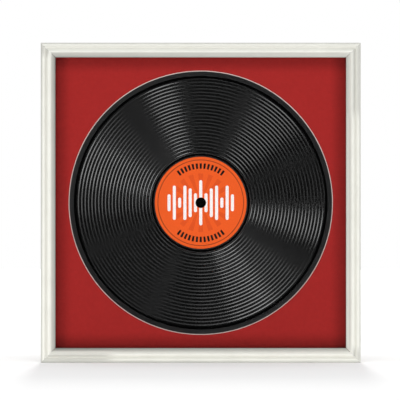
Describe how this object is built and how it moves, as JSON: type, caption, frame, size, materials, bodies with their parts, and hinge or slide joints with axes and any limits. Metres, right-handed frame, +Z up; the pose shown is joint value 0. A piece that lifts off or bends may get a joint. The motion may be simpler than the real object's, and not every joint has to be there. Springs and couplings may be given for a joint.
{
  "type": "framed vinyl record",
  "caption": "Square wall frame of mitred cream moulding with a red mat whose round window shows a grooved disc record, held from behind by turn buttons and hung by rings.",
  "frame": {"origin": "on the wall plane, behind the centre of the square frame", "axes": "+Y into the wall, so the front faces -Y; +Z up; +X to the viewer's right"},
  "size_m": [0.3644, 0.0253, 0.3644],
  "materials": {
    "painted_wood": "cream paint, satin, over wood",
    "red_card": "red linen-textured face on a white core",
    "grey_board": "uncoated grey board",
    "clear_acrylic": "clear polished sheet",
    "brown_board": "bare hardboard",
    "black_vinyl": "glossy black, grooved",
    "orange_paper": null,
    "plated_steel": "yellow zinc plated",
    "steel": "bright zinc plated",
    "soft_rubber": "matte"
  },
  "bodies": {
    "frame": {"bottom_rail": "painted_wood", "left_stile": "painted_wood", "top_rail": "painted_wood", "right_stile": "painted_wood", "v_nail_bottom_left_1": "steel", "v_nail_bottom_left_2": "steel", "v_nail_top_left_1": "steel", "v_nail_top_left_2": "steel", "v_nail_top_right_1": "steel", "v_nail_top_right_2": "steel", "v_nail_bottom_right_1": "steel", "v_nail_bottom_right_2": "steel", "glazing": "clear_acrylic", "mat_board": "red_card", "record_carrier": "grey_board", "record": "black_vinyl", "record_label_front": "orange_paper", "record_label_back": "orange_paper", "backing_board": "brown_board", "button_screw_bottom_1": "steel", "button_screw_bottom_2": "steel", "button_screw_left_1": "steel", "button_screw_left_2": "steel", "button_screw_top_1": "steel", "button_screw_top_2": "steel", "button_screw_right_1": "steel", "button_screw_right_2": "steel", "hanger_strap_left": "plated_steel", "hanger_strap_right": "plated_steel", "hanger_screw_left": "steel", "hanger_screw_right": "steel", "bumper_bottom_left": "soft_rubber", "bumper_bottom_right": "soft_rubber", "bumper_top_left": "soft_rubber", "bumper_top_right": "soft_rubber"},
    "button_bottom_1": {"turn_button_bottom_1": "plated_steel"},
    "button_bottom_2": {"turn_button_bottom_2": "plated_steel"},
    "button_left_1": {"turn_button_left_1": "plated_steel"},
    "button_left_2": {"turn_button_left_2": "plated_steel"},
    "button_top_1": {"turn_button_top_1": "plated_steel"},
    "button_top_2": {"turn_button_top_2": "plated_steel"},
    "button_right_1": {"turn_button_right_1": "plated_steel"},
    "button_right_2": {"turn_button_right_2": "plated_steel"},
    "ring_left": {"hanger_ring_left": "plated_steel"},
    "ring_right": {"hanger_ring_right": "plated_steel"}
  },
  "joints": [
    {"name": "button_bottom_1_turn", "type": "hinge", "parent": "frame", "child": "button_bottom_1", "pos_m": [-0.1, -0.0045, -0.1764], "axis": [0, 1, 0], "continuous": true},
    {"name": "button_bottom_2_turn", "type": "hinge", "parent": "frame", "child": "button_bottom_2", "pos_m": [0.1, -0.0045, -0.1764], "axis": [0, 1, 0], "continuous": true},
    {"name": "button_left_1_turn", "type": "hinge", "parent": "frame", "child": "button_left_1", "pos_m": [-0.1764, -0.0045, 0.1], "axis": [0, 1, 0], "continuous": true},
    {"name": "button_left_2_turn", "type": "hinge", "parent": "frame", "child": "button_left_2", "pos_m": [-0.1764, -0.0045, -0.1], "axis": [0, 1, 0], "continuous": true},
    {"name": "button_top_1_turn", "type": "hinge", "parent": "frame", "child": "button_top_1", "pos_m": [0.1, -0.0045, 0.1764], "axis": [0, 1, 0], "continuous": true},
    {"name": "button_top_2_turn", "type": "hinge", "parent": "frame", "child": "button_top_2", "pos_m": [-0.1, -0.0045, 0.1764], "axis": [0, 1, 0], "continuous": true},
    {"name": "button_right_1_turn", "type": "hinge", "parent": "frame", "child": "button_right_1", "pos_m": [0.1764, -0.0045, -0.1], "axis": [0, 1, 0], "continuous": true},
    {"name": "button_right_2_turn", "type": "hinge", "parent": "frame", "child": "button_right_2", "pos_m": [0.1764, -0.0045, 0.1], "axis": [0, 1, 0], "continuous": true},
    {"name": "ring_left_swing", "type": "hinge", "parent": "frame", "child": "ring_left", "pos_m": [-0.1754, -0.00315, 0.0572], "axis": [1, 0, 0], "range_deg": [0, 180]},
    {"name": "ring_right_swing", "type": "hinge", "parent": "frame", "child": "ring_right", "pos_m": [0.1754, -0.00315, 0.0572], "axis": [1, 0, 0], "range_deg": [0, 180]}
  ]
}
